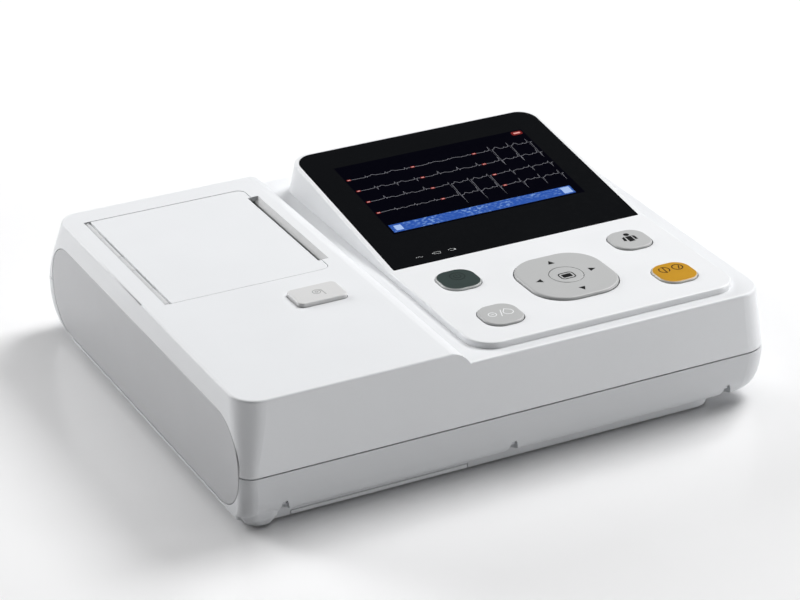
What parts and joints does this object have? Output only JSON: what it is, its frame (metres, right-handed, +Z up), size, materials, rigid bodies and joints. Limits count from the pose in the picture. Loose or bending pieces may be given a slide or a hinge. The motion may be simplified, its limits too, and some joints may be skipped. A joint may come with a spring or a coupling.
{
  "type": "ecg machine",
  "caption": "Portable electrocardiograph with hinged paper door, roll printer, tilted colour display and keypad in a white two-part case with a grey end panel.",
  "frame": {"origin": "bottom centre of the whole machine: the plane its feet stand on, midway left to right and front to back", "axes": "+X to the right of a person at the keypad, +Y away from them, +Z up"},
  "size_m": [0.276, 0.231, 0.0765],
  "materials": {
    "white_plastic": "fine satin texture",
    "grey_panel": "satin",
    "zinc": "zinc plated",
    "black_rubber": "matte",
    "white_bezel": "fine satin texture",
    "black_lens": "polished",
    "lcd": "lit screen",
    "steel": "brushed",
    "circuit_board": "solder mask",
    "led_lens": "clear",
    "dark_key": "satin",
    "grey_key": "satin silicone-coated",
    "orange_key": "satin",
    "grey_moulding": "moulded",
    "silicone": "matte silicone",
    "white_door": "fine satin texture",
    "natural_nylon": "moulded nylon",
    "platen_rubber": "ground",
    "brass": "turned",
    "ceramic_head": "glazed substrate",
    "aluminium": "extruded",
    "grey_tear": "fine ribs",
    "grey_button": "satin",
    "battery_wrap": "shrink wrap",
    "black_plastic": "moulded",
    "nickel": "nickel plated"
  },
  "bodies": {
    "case": {"upper_case": "white_plastic", "lower_case": "white_plastic", "end_panel": "grey_panel", "battery_cover": "white_plastic", "cover_screws": "zinc", "rubber_feet": "black_rubber", "case_screws": "zinc", "control_panel": "white_bezel", "display_lens": "black_lens", "lcd_screen": "lcd", "lcd_module": "steel", "indicator_board": "circuit_board", "indicator_leds": "led_lens", "keypad_membrane": "silicone", "keypad_board": "circuit_board", "keypad_screws": "zinc", "hinge_strip": "grey_moulding", "hinge_pin": "steel", "print_head": "ceramic_head", "head_heatsink": "aluminium", "head_springs": "steel", "printer_chassis": "steel", "drive_motor": "zinc", "tear_bar": "grey_tear", "paper_bay": "grey_moulding", "latch_pin": "steel", "latch_bracket": "grey_moulding", "release_spring": "steel", "main_board": "circuit_board", "power_board": "circuit_board", "board_screws": "zinc", "battery_pack": "battery_wrap", "speaker": "black_plastic", "power_inlet": "black_plastic", "inlet_pins": "nickel", "equipotential_stud": "brass", "stud_nut": "brass", "patient_socket": "nickel", "socket_shell": "nickel", "socket_posts": "nickel"},
    "door": {"paper_door": "white_door", "door_knuckles": "grey_moulding", "platen_bushings": "natural_nylon"},
    "platen": {"platen_roller": "platen_rubber", "platen_shaft": "steel", "platen_gear": "natural_nylon"},
    "idler": {"idler_gear": "natural_nylon"},
    "pinion": {"motor_pinion": "brass"},
    "release": {"release_button": "grey_button"},
    "latch": {"latch_lever": "grey_moulding"},
    "power": {"power_key": "dark_key"},
    "mode": {"mode_key": "grey_key"},
    "patient": {"patient_key": "grey_key"},
    "start": {"start_key": "orange_key"},
    "nav_ring": {"nav_rocker_ring": "grey_moulding"},
    "nav": {"nav_pad": "grey_key"},
    "ok": {"ok_key": "grey_key"}
  },
  "joints": [
    {"name": "door_hinge", "type": "hinge", "parent": "case", "child": "door", "pos_m": [-0.1263, 0.0385, 0.0634], "axis": [0, -1, 0], "range_deg": [0, 85]},
    {"name": "platen_spin", "type": "hinge", "parent": "door", "child": "platen", "pos_m": [-0.053, 0.038, 0.0555], "axis": [0, 1, 0], "continuous": true},
    {"name": "idler_spin", "type": "hinge", "parent": "case", "child": "idler", "pos_m": [-0.0535, 0.0834, 0.04346], "axis": [0, 1, 0], "continuous": true},
    {"name": "pinion_spin", "type": "hinge", "parent": "case", "child": "pinion", "pos_m": [-0.05024, 0.0834, 0.03311], "axis": [0, 1, 0], "continuous": true},
    {"name": "release_press", "type": "slide", "parent": "case", "child": "release", "axis": [0, 0, -1], "range_m": [0, 0.0018], "stiffness_N_per_m": 400, "deforming": ["release_spring"]},
    {"name": "latch_swing", "type": "hinge", "parent": "case", "child": "latch", "pos_m": [-0.0623, -0.024, 0.054], "axis": [1, 0, 0], "range_deg": [0, 8.2]},
    {"name": "power_press", "type": "slide", "parent": "case", "child": "power", "axis": [0, 0, -1], "range_m": [0, 0.0012], "stiffness_N_per_m": 350},
    {"name": "mode_press", "type": "slide", "parent": "case", "child": "mode", "axis": [0, 0, -1], "range_m": [0, 0.0012], "stiffness_N_per_m": 350},
    {"name": "patient_press", "type": "slide", "parent": "case", "child": "patient", "axis": [0, 0, -1], "range_m": [0, 0.0012], "stiffness_N_per_m": 350},
    {"name": "start_press", "type": "slide", "parent": "case", "child": "start", "axis": [0, 0, -1], "range_m": [0, 0.0012], "stiffness_N_per_m": 350},
    {"name": "ok_press", "type": "slide", "parent": "nav", "child": "ok", "axis": [0, 0, -1], "range_m": [0, 0.001], "stiffness_N_per_m": 350},
    {"name": "nav_tilt_x", "type": "hinge", "parent": "case", "child": "nav_ring", "pos_m": [0.0533, -0.0649, 0.0545], "axis": [1, 0, 0], "range_deg": [-2, 2], "stiffness_Nm_per_rad": 0.4},
    {"name": "nav_tilt_y", "type": "hinge", "parent": "nav_ring", "child": "nav", "pos_m": [0.0533, -0.0649, 0.0545], "axis": [0, 1, 0], "range_deg": [-2, 2], "stiffness_Nm_per_rad": 0.4}
  ],
  "couplings": [
    {"joint": "idler_spin", "follows": "platen_spin", "ratio": -0.81818},
    {"joint": "pinion_spin", "follows": "platen_spin", "ratio": 1.2857},
    {"joint": "latch_swing", "follows": "release_press", "rad_per_m": 77.5}
  ]
}
